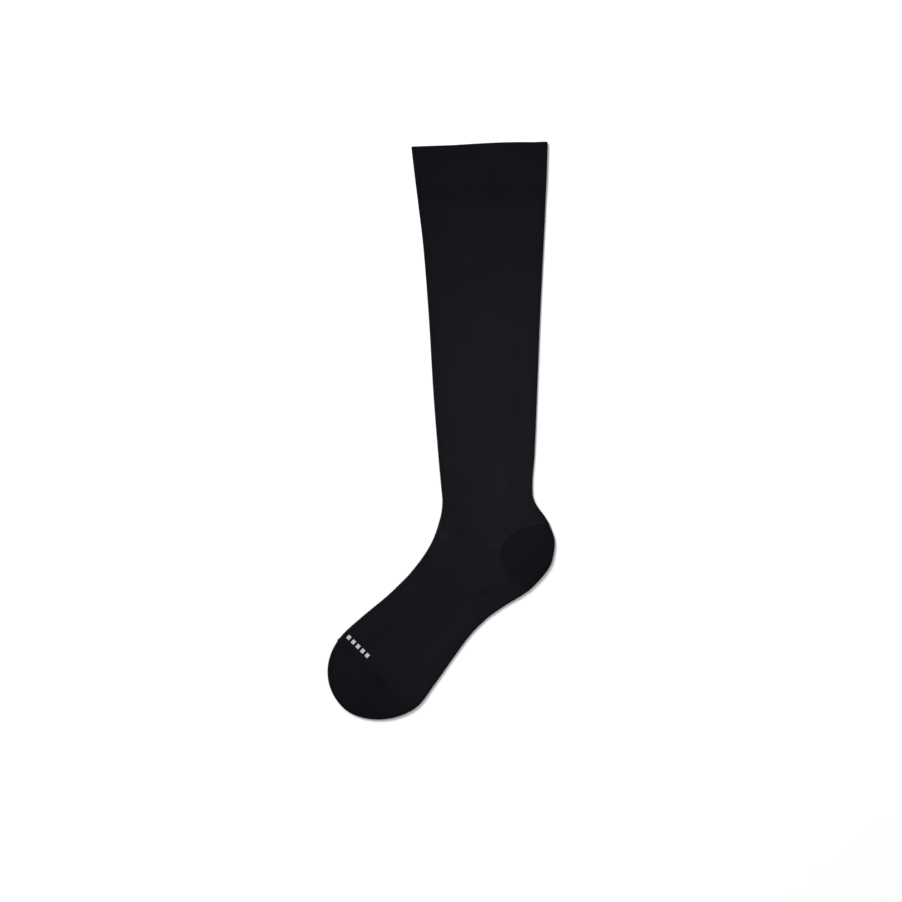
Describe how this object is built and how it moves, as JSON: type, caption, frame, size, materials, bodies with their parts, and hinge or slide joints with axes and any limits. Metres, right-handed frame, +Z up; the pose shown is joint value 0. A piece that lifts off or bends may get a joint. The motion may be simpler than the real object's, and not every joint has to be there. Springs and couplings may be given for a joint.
{
  "type": "compression stocking",
  "caption": "Knee-high compression stocking with a closed toe, laid flat on its side: a knitted tube with a plain welt, a turned heel pocket and a linked toe seam.",
  "frame": {"origin": "on the surface that the stocking lies on, under the middle of its outline", "axes": "+Y up the leg towards the rim, +X from the shin towards the calf, +Z up from the surface; the toes point towards -X and -Y"},
  "size_m": [0.1886, 0.48, 0.0052],
  "materials": {
    "black_knit": "matt black nylon and elastane knit"
  },
  "bodies": {
    "root": {"stocking": "black_knit"}
  },
  "joints": []
}
